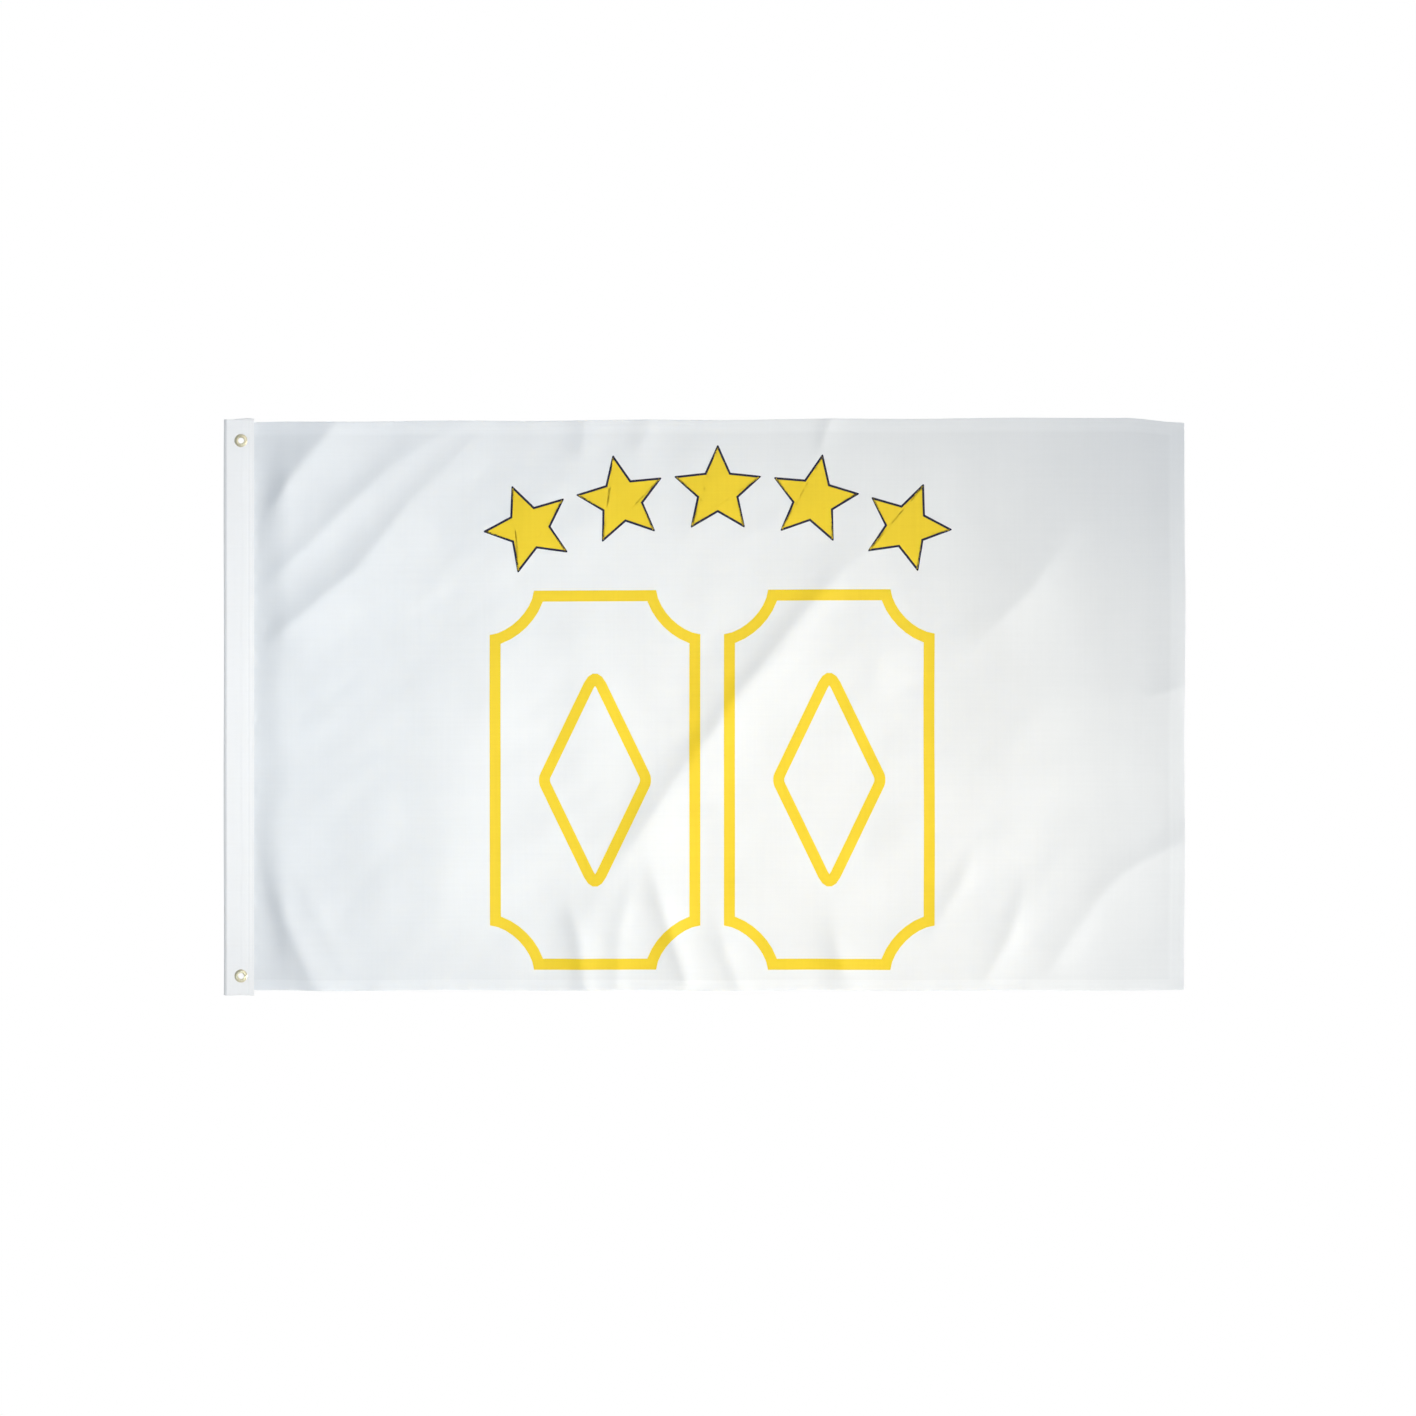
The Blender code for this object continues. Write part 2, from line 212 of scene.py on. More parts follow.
across = spaced(
    [tucked_x, header_edge_x, seam_x, seam_x + 0.003, fly_x - 0.003, fly_x]
    + [fly_x - m for m in row_marks(FLY_HEM_ROWS)],
    CLOTH_PITCH,
)
down = spaced(
    [cloth_foot, cloth_top]
    + [cloth_foot + m for m in row_marks(HEM_ROWS) + [HEM_WIDTH]]
    + [cloth_top - m for m in row_marks(HEM_ROWS) + [HEM_WIDTH]],
    CLOTH_PITCH,
)

# Creases, each from its top end down: how far it spreads to its left and right, how round
# its crest is, and the points that it runs through, with its height towards the front there.
CREASES = [
    # down from the upper hoist corner
    (0.040, 0.050, 0.006, [
        (0.150, 0.024, 0.012), (0.100, -0.036, 0.017), (0.055, -0.097, 0.019), (0.020, -0.142, 0.020),
    ]),
    (0.020, 0.024, 0.007, [
        (0.350, 0.024, 0.003), (0.240, -0.040, 0.005), (0.165, -0.110, 0.0066), (0.112, -0.162, 0.0060),
        (0.030, -0.236, 0.005),
    ]),
    (0.022, 0.042, 0.007, [
        (0.385, 0.010, 0.003), (0.280, -0.088, 0.006), (0.184, -0.205, 0.0096), (0.110, -0.266, 0.0090),
        (0.030, -0.330, 0.007),
    ]),
    # the long slanting fold through the middle, narrow and then broad
    (0.019, 0.032, 0.010, [
        (0.990, -0.172, 0.0008), (0.902, -0.268, 0.0076), (0.790, -0.408, 0.0084), (0.672, -0.566, 0.0066),
        (0.560, -0.735, 0.0026),
    ]),
    (0.130, 0.190, 0.024, [
        (1.000, -0.180, 0.003), (0.915, -0.280, 0.010), (0.803, -0.420, 0.012), (0.684, -0.580, 0.011),
        (0.570, -0.745, 0.006),
    ]),
    # towards the fly edge and its lower corner
    (0.034, 0.028, 0.008, [(1.330, -0.140, 0.0020), (1.250, -0.245, 0.0075), (1.150, -0.345, 0.0026)]),
    (0.012, 0.016, 0.006, [(1.485, -0.398, 0.0055), (1.440, -0.412, 0.0030), (1.392, -0.384, 0.0008)]),
    (0.022, 0.030, 0.007, [
        (1.492, -0.640, 0.0050), (1.420, -0.674, 0.0056), (1.370, -0.715, 0.0056), (1.290, -0.835, 0.0030),
    ]),
    (0.016, 0.022, 0.007, [(1.170, -0.635, 0.0012), (1.140, -0.710, 0.0056), (1.092, -0.790, 0.0022)]),
    (0.014, 0.018, 0.006, [(1.244, -0.705, 0.0016), (1.224, -0.780, 0.0058), (1.188, -0.850, 0.0030)]),
    # the lower hoist corner and the edge of the header
    (0.032, 0.046, 0.007, [
        (0.022, -0.600, 0.011), (0.054, -0.715, 0.018), (0.090, -0.800, 0.019), (0.124, -0.872, 0.016),
    ]),
    (0.016, 0.024, 0.007, [(0.075, -0.655, 0.0010), (0.115, -0.735, 0.0046), (0.165, -0.835, 0.0040)]),
    (0.030, 0.040, 0.009, [(0.020, -0.392, 0.010), (0.040, -0.445, 0.007), (0.080, -0.510, 0.002)]),
    # short ones that rise from the bottom hem
    (0.015, 0.020, 0.007, [(0.516, -0.720, 0.0016), (0.536, -0.790, 0.0090), (0.548, -0.872, 0.0076)]),
    (0.016, 0.022, 0.007, [(0.626, -0.680, 0.0016), (0.602, -0.775, 0.0056), (0.596, -0.872, 0.0040)]),
    (0.013, 0.020, 0.006, [(0.640, -0.650, 0.0016), (0.672, -0.750, 0.0096), (0.706, -0.850, 0.0080)]),
    (0.013, 0.018, 0.006, [(0.748, -0.735, 0.0012), (0.770, -0.815, 0.0066), (0.794, -0.872, 0.0050)]),
    (0.013, 0.018, 0.006, [(0.936, -0.750, 0.0012), (0.950, -0.820, 0.0048), (0.964, -0.872, 0.0036)]),
    # short ones that hang from the top hem
    (0.014, 0.020, 0.006, [(0.546, 0.029, 0.0044), (0.543, -0.010, 0.0036), (0.536, -0.050, 0.0004)]),
    (0.014, 0.020, 0.006, [(0.650, 0.029, 0.0040), (0.640, 0.000, 0.0038), (0.620, -0.040, 0.0008)]),
    (0.011, 0.016, 0.005, [(0.936, 0.030, 0.0060), (0.926, 0.000, 0.0050), (0.916, -0.044, 0.0008)]),
    # broad soft falls
    (0.070, 0.080, 0.030, [
        (0.420, -0.160, 0.002), (0.400, -0.400, 0.006), (0.340, -0.620, 0.006), (0.280, -0.820, 0.003),
    ]),
    (0.110, 0.080, 0.040, [(1.200, -0.100, 0.002), (1.250, -0.400, 0.009), (1.190, -0.800, 0.006)]),
    (0.050, 0.040, 0.020, [(0.500, -0.300, 0.001), (0.560, -0.470, 0.004), (0.470, -0.640, 0.002)]),
    (0.060, 0.050, 0.020, [(1.060, -0.260, 0.001), (0.990, -0.400, 0.004), (0.900, -0.600, 0.002)]),
]
# Low swells of the cloth: where, how wide and tall, and how far towards the front.
SWELLS = [
    ((0.26, -0.50), (0.17, 0.26), 0.006),
    ((0.66, -0.16), (0.22, 0.16), 0.006),
    ((1.02, -0.66), (0.20, 0.20), 0.008),
    ((1.44, -0.24), (0.10, 0.20), 0.008),
    ((0.46, -0.76), (0.15, 0.14), -0.007),
    ((0.12, -0.70), (0.10, 0.14), -0.004),
]


# Short puckers, each a wave's length and where in it the wave starts.
HEM_PUCKERS = ((0.027, 0.4), (0.036, 2.1), (0.051, 5.0))
FLY_PUCKERS = ((0.029, 1.4), (0.043, 3.1))
HEADER_GATHERS = ((0.031, 0.3), (0.047, 1.9), (0.083, 4.4))
HEM_PUCKER, FLY_PUCKER, HEADER_GATHER = 0.00022, 0.00020, 0.00030
# How steep the long undulations and the fine wrinkles are, for each metre of their length.
UNDULATION, WRINKLE = 0.0017, 0.0019
CORNER_LEAN, FLY_CURL = 0.004, 0.004
FLY_RISE, CORNER_DROOP = 0.008, 0.009
LET_GO_LENGTH = 0.055


def eased(t):
    """From 0 to 1 with a gentle start and end, and level beyond them."""
    t = np.clip(t, 0, 1)
    return t * t * (3 - 2 * t)


def crease_height(x, z, left, right, crest, line):
    """A long fold: a rounded crest along the line, which falls away on either side."""
    nearest, height, side = np.full(x.shape, 1e9), np.zeros(x.shape), np.zeros(x.shape)
    for (ax, az, ah), (bx, bz, bh) in zip(line, line[1:]):
        length = math.hypot(bx - ax, bz - az)
        ux, uz = (bx - ax) / length, (bz - az) / length
        t = np.clip(((x - ax) * ux + (z - az) * uz) / length, 0, 1)
        gap = np.hypot(x - ax - t * length * ux, z - az - t * length * uz)
        lean = (ux * (z - az) - uz * (x - ax)) / np.maximum(gap, 1e-9)
        closer = gap < nearest
        nearest = np.where(closer, gap, nearest)
        height = np.where(closer, ah + (bh - ah) * eased(t), height)
        side = np.where(closer, np.clip(lean, -1, 1), side)
    spread = left + (right - left) * (0.5 + 0.5 * side)
    return height * np.exp(-(np.sqrt(nearest**2 + crest**2) - crest) / spread)


def hang(x, z):
    """Where a point of the flat cloth goes when it hangs: x, y and z in metres."""
    let_go = eased((x - seam_x - 0.001) / LET_GO_LENGTH)
    front = np.zeros(x.shape)
    for left, right, crest, line in CREASES:
        front += crease_height(x, z, left, right, crest, line)
    for (cx, cz), (wide, tall), height in SWELLS:
        front += height * np.exp(-(((x - cx) / wide) ** 2) - ((z - cz) / tall) ** 2)
    # the upper fly corner leans back, and the fly edge curls a little to the front
    front -= CORNER_LEAN * eased((x - 0.75) / 0.75) * eased((z + 0.13) / 0.17)
    at_fly = eased((x - fly_x + 0.07) / 0.07)
    front += FLY_CURL * at_fly * eased((z + 0.56) / 0.2) * eased((0.02 - z) / 0.1)
    # a few long undulations, and finer wrinkles in patches
    chance = np.random.default_rng(11)
    for _ in range(26):
        wave = chance.uniform(0.07, 0.30)
        turn, phase = chance.uniform(0, math.pi), chance.uniform(0, 2 * math.pi)
        way = x * math.cos(turn) + z * math.sin(turn)
        front += UNDULATION * wave * np.sin(2 * math.pi / wave * way + phase)
    for _ in range(30):
        wave = chance.uniform(0.022, 0.060)
        turn, phase = chance.uniform(0, math.pi), chance.uniform(0, 2 * math.pi)
        patch = np.sin(x * chance.uniform(6, 16) + phase * 3)
        patch = patch * np.sin(z * chance.uniform(6, 16) + phase * 5)
        way = x * math.cos(turn) + z * math.sin(turn)
        front += WRINKLE * wave * patch * np.sin(2 * math.pi / wave * way + phase)
    # puckers where the hems and the header draw the cloth in
    edge = np.minimum(cloth_top - z, z - cloth_foot)
    tight = np.exp(-np.clip(edge, 0, 1) / 0.016)
    for wave, phase in HEM_PUCKERS:
        wander = 1.5 * np.sin(x * 9 + phase)
        front += HEM_PUCKER * tight * np.sin(2 * math.pi * x / wave + phase + wander)
    fly_tight = np.exp(-np.clip(fly_x - x, 0, 1) / 0.018)
    for wave, phase in FLY_PUCKERS:
        wander = 1.2 * np.sin(z * 11 + phase)
        front += FLY_PUCKER * fly_tight * np.sin(2 * math.pi * z / wave + phase + wander)
    front *= let_go
    # the header holds the cloth flat, and gathers it a little where it is let go
    gather = np.exp(-np.clip(x - seam_x, 0, 1) / 0.020) * eased((x - seam_x) / 0.004)
    for wave, phase in HEADER_GATHERS:
        wander = 1.4 * np.sin(z * 7 + phase)
        front += HEADER_GATHER * gather * np.sin(2 * math.pi * z / wave + phase + wander)
    # the fly end rides up, apart from its upper corner, which droops
    along = np.clip((x - seam_x) / (fly_x - seam_x), 0, 1)
    up = np.clip((z - cloth_foot) / (cloth_top - cloth_foot), 0, 1)
    at_corner = eased(1 - (cloth_top - z) / 0.1) * eased(1 - (fly_x - x) / 0.1)
    rise = FLY_RISE * up * along - CORNER_DROOP * at_corner
    rise += 0.0006 * np.sin(x * 21 + 1) * let_go * np.exp(-edge / 0.05)
    return np.stack([x + 0.0007 * np.sin(z * 17) * along**3, -front, z + rise], axis=-1)


hung = hang(*np.meshgrid(across, down, indexing="ij"))
facing = np.cross(np.gradient(hung, across, axis=0), np.gradient(hung, down, axis=1))
facing /= np.linalg.norm(facing, axis=-1, keepdims=True)


def coordinates(piece):
    """A piece's vertices, one row of x, y and z each."""
    found = np.empty(len(piece.data.vertices) * 3)
    piece.data.vertices.foreach_get("co", found)
    return found.reshape(-1, 3)


def drape(piece):
    """Lays a piece made flat, with y as its depth behind the cloth's middle, on the hanging cloth."""
    flat = coordinates(piece)
    spots = []
    for lines, values in ((across, flat[:, 0]), (down, flat[:, 2])):
        i = np.clip(np.searchsorted(lines, values, side="right") - 1, 0, len(lines) - 2)
        spots.append((i, (values - lines[i]) / (lines[i + 1] - lines[i])))
    (i, s), (j, t) = spots
    s, t = s[:, None], t[:, None]

    def between(values, s, t):
        # each square of the grid is two flat triangles, parted from its low left corner
        third = np.where(s >= t, values[i + 1, j], values[i, j + 1])
        more, less = np.maximum(s, t), np.minimum(s, t)
        return values[i, j] * (1 - more) + third * (more - less) + values[i + 1, j + 1] * less

    outward = between(facing, np.clip(s, 0, 1), np.clip(t, 0, 1))
    outward /= np.linalg.norm(outward, axis=1, keepdims=True)
    placed = between(hung, s, t) - outward * flat[:, 1:2]
    piece.data.vertices.foreach_set("co", placed.ravel())
    piece.data.update()


def row_dent(x, z):
    """How far the stitched rows pull the plies of a hem together there."""
    from_edge = np.minimum(cloth_top - z, z - cloth_foot)
    dent = np.zeros(x.shape)
    for row in HEM_ROWS:
        dent = np.maximum(dent, 1 - np.abs(from_edge - row) / DENT_SIDE)
    for row in FLY_HEM_ROWS:
        dent = np.maximum(dent, 1 - np.abs(fly_x - x - row) / DENT_SIDE)
    return ROW_DENT * np.clip(dent, 0, 1)


def lay_threads(piece, flat):
    """Gives a piece the UV map that its weave follows: its flat x and z, in metres."""
    corner = np.empty(len(piece.data.loops), dtype=int)
    piece.data.loops.foreach_get("vertex_index", corner)
    while piece.data.uv_layers:
        piece.data.uv_layers.remove(piece.data.uv_layers[0])
    lie = piece.data.uv_layers.new(name="threads")
    lie.data.foreach_set("uv", flat[corner][:, [0, 2]].astype(np.float32).ravel())


def select_where(piece, test, kind="VERT"):
    """Goes to edit mode with the vertices, or the edges with both ends, that pass a test selected."""
    bpy.ops.object.mode_set(mode="OBJECT")
    mesh = piece.data
    for part in (mesh.vertices, mesh.edges, mesh.polygons):
        part.foreach_set("select", [False] * len(part))
    if kind == "VERT":
        for v in mesh.vertices:
            v.select = test(v.co)
    else:
        for e in mesh.edges:
            a, b = (mesh.vertices[k].co for k in e.vertices)
            e.select = test(a) and test(b)
    bpy.ops.object.mode_set(mode="EDIT")
    bpy.ops.mesh.select_mode(type=kind)


def pull_out(offset):
    """Extrudes the selected edges by an offset."""
    bpy.ops.mesh.extrude_edges_move(TRANSFORM_OT_translate={"value": offset})


bpy.ops.mesh.primitive_grid_add(x_subdivisions=len(across) - 1, y_subdivisions=len(down) - 1, size=1)
cloth = bpy.context.object
cloth.name = "hemmed_cloth"
spot = coordinates(cloth)
column = np.rint((spot[:, 0] + 0.5) * (len(across) - 1)).astype(int)
line = np.rint((spot[:, 1] + 0.5) * (len(down) - 1)).astype(int)
spot = np.stack([across[column], np.zeros(len(spot)), down[line]], axis=1)
cloth.data.vertices.foreach_set("co", spot.ravel())
cloth.data.update()

select_where(cloth, lambda p: min(math.hypot(p.x, p.z - h) for h in grommet_heights) < NOTCH_RADIUS)
bpy.ops.mesh.delete(type="VERT")
bpy.ops.mesh.select_all(action="SELECT")
bpy.ops.mesh.quads_convert_to_tris(quad_method="FIXED")
bpy.ops.object.mode_set(mode="OBJECT")


def turn_hem(test, outward, nose, width, rows):
    """Turns an edge of the flat cloth round a small nose, and lays the hem's width down behind it."""
    select_where(cloth, test, "EDGE")
    outward = Vector(outward)
    previous = Vector((0, 0, 0))
    for angle in (45, 90, 135, 180):
        a = math.radians(angle)
        place = outward * (nose * 0.6 * math.sin(a)) + Vector((0, nose * (1 - math.cos(a)) / 2, 0))
        pull_out(place - previous)
        previous = place
    for distance in spaced([0, width] + row_marks(rows), CLOTH_PITCH)[1:]:
        place = Vector((0, nose, 0)) - outward * float(distance)
        pull_out(place - previous)
        previous = place


def clear_of_ends(p):
    """Whether a point of the top or bottom edge is out of the header and short of the fly's turn."""
    return seam_x + 0.0008 < p.x < fly_x - 0.002


turn_hem(
    lambda p: p.z > cloth_top - NEAR and clear_of_ends(p),
    (0, 0, 1), EDGE_NOSE, HEM_WIDTH, HEM_ROWS,
)
turn_hem(
    lambda p: p.z < cloth_foot + NEAR and clear_of_ends(p),
    (0, 0, -1), EDGE_NOSE, HEM_WIDTH, HEM_ROWS,
)
turn_hem(
    lambda p: p.x > fly_x - NEAR and abs(p.y) < NEAR / 10,
    (1, 0, 0), FLY_NOSE, FLY_HEM_WIDTH, FLY_HEM_ROWS,
)
bpy.ops.object.mode_set(mode="OBJECT")

# the pattern of threads follows the flat cloth, and a hem is marked by how many plies it has
spot = coordinates(cloth)
plies = cloth.data.attributes.new("plies", "FLOAT", "POINT")
in_hem = np.minimum(cloth_top - spot[:, 2], spot[:, 2] - cloth_foot) < HEM_WIDTH
in_fly_hem = fly_x - spot[:, 0] < FLY_HEM_WIDTH
plies.data.foreach_set("value", (in_hem * 1.0 + in_fly_hem * 1.0).astype(np.float32))
lay_threads(cloth, spot)
dent = row_dent(spot[:, 0], spot[:, 2])
spot[:, 1] += np.where(spot[:, 1] < 1e-6, dent, -dent)
cloth.data.vertices.foreach_set("co", spot.ravel())
drape(cloth)
walls = cloth.modifiers.new("ply", "SOLIDIFY")
walls.thickness, walls.offset, walls.use_even_offset = PLY, 0, True
bpy.ops.object.modifier_apply(modifier="ply")
bpy.ops.object.shade_smooth_by_angle(angle=SOFT_EDGE)


def weave_group():
    """Plain weave: over and under threads, thick and thin places in them, and their height."""
    group = bpy.data.node_groups.new("plain_weave", "ShaderNodeTree")
    group.interface.new_socket("Vector", in_out="INPUT", socket_type="NodeSocketVector")
    for name, value in (("Threads", 1800.0), ("Slub", 0.3)):
        socket = group.interface.new_socket(name, in_out="INPUT", socket_type="NodeSocketFloat")
        socket.default_value = value
    for name in ("Height", "Shade", "Cloudy"):
        group.interface.new_socket(name, in_out="OUTPUT", socket_type="NodeSocketFloat")
    start = group.nodes.new("NodeGroupInput")
    end = group.nodes.new("NodeGroupOutput")
    lie = start.outputs["Vector"]

    def math_node(kind, a, b=0.0):
        return add_node(group, "ShaderNodeMath", {"operation": kind}, i0=a, i1=b).outputs[0]

    def slubs(scale):
        stretched = add_node(group, "ShaderNodeMapping", Vector=lie, Scale=scale).outputs[0]
        return add_node(group, "ShaderNodeTexNoise", Vector=stretched, Scale=1.0, Detail=3.0).outputs["Fac"]

    scaled = add_node(
        group, "ShaderNodeVectorMath", {"operation": "SCALE"}, Vector=lie, Scale=start.outputs["Threads"]
    )
    parts = add_node(group, "ShaderNodeSeparateXYZ", Vector=scaled.outputs[0])
    along, up = parts.outputs["X"], parts.outputs["Y"]
    warp = math_node("ABSOLUTE", math_node("SINE", math_node("MULTIPLY", along, math.pi)))
    weft = math_node("ABSOLUTE", math_node("SINE", math_node("MULTIPLY", up, math.pi)))
    over = math_node("PINGPONG", math_node("ADD", math_node("FLOOR", along), math_node("FLOOR", up)), 1.0)
    warp_high = math_node("MULTIPLY", warp, math_node("ADD", math_node("MULTIPLY", weft, 0.5), 0.5))
    weft_high = math_node("MULTIPLY", weft, math_node("ADD", math_node("MULTIPLY", warp, 0.5), 0.5))
    woven = add_node(group, "ShaderNodeMix", i0=over, i2=warp_high, i3=weft_high).outputs[0]
    both = math_node("ADD", slubs((260.0, 5.0, 1.0)), slubs((5.0, 260.0, 1.0)))
    slub = math_node("MULTIPLY", both, start.outputs["Slub"])
    cloudy = add_node(group, "ShaderNodeTexNoise", Vector=lie, Scale=9.0, Detail=4.0, Roughness=0.6)
    # Shade, which colours the cloth, is partly painted shade, lighter where threads cross over and darker
    # where they dip, and partly the slubs' own tone
    group.links.new(math_node("ADD", woven, slub), end.inputs["Height"])
    group.links.new(math_node("ADD", math_node("MULTIPLY", woven, 0.35), slub), end.inputs["Shade"])
    group.links.new(cloudy.outputs["Fac"], end.inputs["Cloudy"])
    return group


plain_weave = weave_group()


def woven_material(name, threads, slub, dark, light, rough, relief):
    """A woven finish between two tones. Returns the material, its shader and its colour, to build on."""
    made, shader = new_material(name, specular=0.35)
    lie = add_node(made, "ShaderNodeUVMap", {"uv_map": "threads"}).outputs["UV"]
    weave = add_node(
        made, "ShaderNodeGroup", {"node_tree": plain_weave}, Vector=lie, Threads=threads, Slub=slub
    )
    shade, cloudy = weave.outputs["Shade"], weave.outputs["Cloudy"]
    # the tone mixes random cloudiness with the weave's Shade, which is partly painted shade between the
    # threads
    mottle_and_weave_shade = add_node(made, "ShaderNodeMath", {"operation": "MULTIPLY_ADD"}, i0=cloudy, i1=0.5, i2=shade)
    share = add_node(made, "ShaderNodeMapRange", Value=mottle_and_weave_shade.outputs[0], From_Min=0.2, From_Max=0.95)
    tone = add_node(made, "ShaderNodeMix", {"data_type": "RGBA"}, Factor=share.outputs[0])
    tone.inputs[6].default_value, tone.inputs[7].default_value = (*dark, 1), (*light, 1)
    bump = add_node(
        made, "ShaderNodeBump", Strength=relief, Distance=0.00012, Height=weave.outputs["Height"]
    )
    dull = add_node(made, "ShaderNodeMapRange", Value=cloudy, To_Min=rough - 0.06, To_Max=rough + 0.06)
    made.node_tree.links.new(tone.outputs[2], shader.inputs["Base Color"])
    made.node_tree.links.new(bump.outputs[0], shader.inputs["Normal"])
    made.node_tree.links.new(dull.outputs[0], shader.inputs["Roughness"])
    shader.inputs["Sheen Weight"].default_value = 0.08
    shader.inputs["Sheen Roughness"].default_value = 0.4
    return made, shader, tone


# a doubled hem lets less light through and looks whiter
white_polyester, shader, tone = woven_material(
    "white_polyester", CLOTH_THREADS, CLOTH_SLUB, (0.775, 0.785, 0.795), (0.845, 0.850, 0.855), 0.52, 0.35
)
hem_plies = add_node(white_polyester, "ShaderNodeAttribute", {"attribute_name": "plies"})
doubled = add_node(
    white_polyester, "ShaderNodeMapRange", Value=hem_plies.outputs["Fac"], To_Min=0.0, To_Max=0.35
)
dense = add_node(white_polyester, "ShaderNodeMix", {"data_type": "RGBA"}, Factor=doubled.outputs[0])
white_polyester.node_tree.links.new(tone.outputs[2], dense.inputs[6])
dense.inputs[7].default_value = (0.93, 0.935, 0.94, 1)
white_polyester.node_tree.links.new(dense.outputs[2], shader.inputs["Base Color"])
cloth.data.materials.clear()
cloth.data.materials.append(white_polyester)

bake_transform(cloth)
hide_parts("flag_cloth", "cloth_hoist_edge")
bpy.ops.object.select_all(action="DESELECT")


# The print: an arch of plain gold stars with a thin navy edge, over two tall gold outlines.
# Each shape is a film of ink on the cloth's face that takes the form of the cloth under it,
# and the same shape shows paler through the back, because the ink soaks in.
FILM = 0.00012
FILM_OUT = PLY / 2 + 0.00006
PAST_SEAM, PAST_HEM = 0.004, 0.001
EDGE_LINE = 0.0035
STROKE = 0.0174
PRINT_SHIFT, ARCH_SHIFT = -0.0112, 0.009
STAR_RADIUS, STAR_WAIST, STAR_TIP_CUT = 0.074, 0.47, 0.0035
ARCH_RADIUS, ARCH_STEP, ARCH_DOWN = 0.80, math.radians(11.0), 0.1117
PANEL_WIDE, PANEL_TALL, PANEL_APART, PANEL_DOWN = 0.334, 0.600, 0.3715, 0.5687
PANEL_CORNER, PANEL_HOLLOW = 0.070, 0.12
LOZENGE_WIDE, LOZENGE_TALL = 0.092, 0.190
TALL_TIP_CUT, WIDE_TIP_CUT = 0.040, 0.012

print_x = (seam_x + fly_x) / 2 + PRINT_SHIFT
arch_z = cloth_top - ARCH_DOWN
panel_z = cloth_top - PANEL_DOWN


def flat_shape(corners, size):
    """A flat face with so many corners round the print's origin, left in edit mode."""
    bpy.ops.mesh.primitive_circle_add(vertices=corners, radius=1, fill_type="NGON")
    shape = bpy.context.object
    bpy.ops.object.mode_set(mode="EDIT")
    bpy.ops.transform.resize(value=(size[0], size[1], 1), center_override=(0, 0, 0))
    return shape


def settle_shape(shape, place, turn=0.0):
    """Turns and moves a finished flat shape to its place in the print."""
    bpy.ops.object.mode_set(mode="OBJECT")
    shape.data.transform(Matrix.Translation((place[0], place[1], 0)) @ Matrix.Rotation(turn, 4, "Z"))


def joined(shapes):
    """The first of some flat shapes, with the others joined into it."""
    bpy.ops.object.select_all(action="DESELECT")
    for shape in shapes:
        shape.select_set(True)
    bpy.context.view_layer.objects.active = shapes[0]
    bpy.ops.object.join()
    return shapes[0]


def cut(at, towards):
    """Cuts the whole of the mesh in edit mode through a point, square to a direction."""
    bpy.ops.mesh.select_all(action="SELECT")
    bpy.ops.mesh.bisect(plane_co=at, plane_no=towards)


def cut_where_cloth_bends(shape):
    """Cuts a flat shape along the lines that part the cloth's own facets."""
    spot = coordinates(shape)
    bpy.ops.object.mode_set(mode="EDIT")
    bpy.ops.mesh.select_all(action="SELECT")
    bpy.ops.mesh.quads_convert_to_tris()
    for value in across[(across > spot[:, 0].min()) & (across < spot[:, 0].max())]:
        cut((float(value), 0, 0), (1, 0, 0))
    for value in down[(down > spot[:, 1].min()) & (down < spot[:, 1].max())]:
        cut((0, float(value), 0), (0, 1, 0))
    # between the hems the grid is even, so the lines that part its squares run straight through
    i = np.searchsorted(across, seam_x + PAST_SEAM)
    j = np.searchsorted(down, cloth_foot + HEM_WIDTH + PAST_HEM)
    wide, tall = across[i + 1] - across[i], down[j + 1] - down[j]
    slant = Vector((tall, -wide, 0)).normalized()
    steps = (spot[:, 0] - across[i]) / wide - (spot[:, 1] - down[j]) / tall
    for step in range(math.ceil(steps.min()), math.ceil(steps.max())):
        cut((float(across[i] + step * wide), float(down[j]), 0), slant)
    bpy.ops.object.mode_set(mode="OBJECT")


def lay_film(film, name, depth, finish):
    """Makes a flat shape a film of ink at a depth behind the cloth's middle, and rides it there."""
    film.name = name
    spot = coordinates(film)
    spot = np.stack([spot[:, 0], np.full(len(spot), depth), spot[:, 1]], axis=1)
    film.data.vertices.foreach_set("co", spot.ravel())
    lay_threads(film, spot)
    drape(film)
    bpy.ops.object.select_all(action="DESELECT")
    film.select_set(True)
    bpy.context.view_layer.objects.active = film
    skin = film.modifiers.new("film", "SOLIDIFY")
    skin.thickness, skin.offset = FILM, 0
    bpy.ops.object.modifier_apply(modifier="film")
    if depth > 0:
        bpy.ops.object.mode_set(mode="EDIT")
        bpy.ops.mesh.select_all(action="SELECT")
        bpy.ops.mesh.normals_make_consistent(inside=False)
        bpy.ops.object.mode_set(mode="OBJECT")
    bpy.ops.object.shade_smooth_by_angle(angle=SOFT_EDGE)
    film.data.materials.clear()
    film.data.materials.append(finish)
    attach(film, "cloth")
    return film


def soak_in(shape, name, inks):
    """Prints a flat shape: a film in front in one ink, and what shows through at the back in another."""
    bpy.ops.object.select_all(action="DESELECT")
    shape.select_set(True)
    bpy.context.view_layer.objects.active = shape
    cut_where_cloth_bends(shape)
    back = shape.copy()
    back.data = shape.data.copy()
    bpy.context.collection.objects.link(back)
    return [
        lay_film(shape, name, -FILM_OUT, inks[0]),
        lay_film(back, name + "_show_through", FILM_OUT, inks[1]),
    ]


def ink(name, dark, light, rough):
    """An ink of two tones, on the cloth's own weave."""
    return woven_material(name, CLOTH_THREADS, CLOTH_SLUB, dark, light, rough, 0.30)[0]


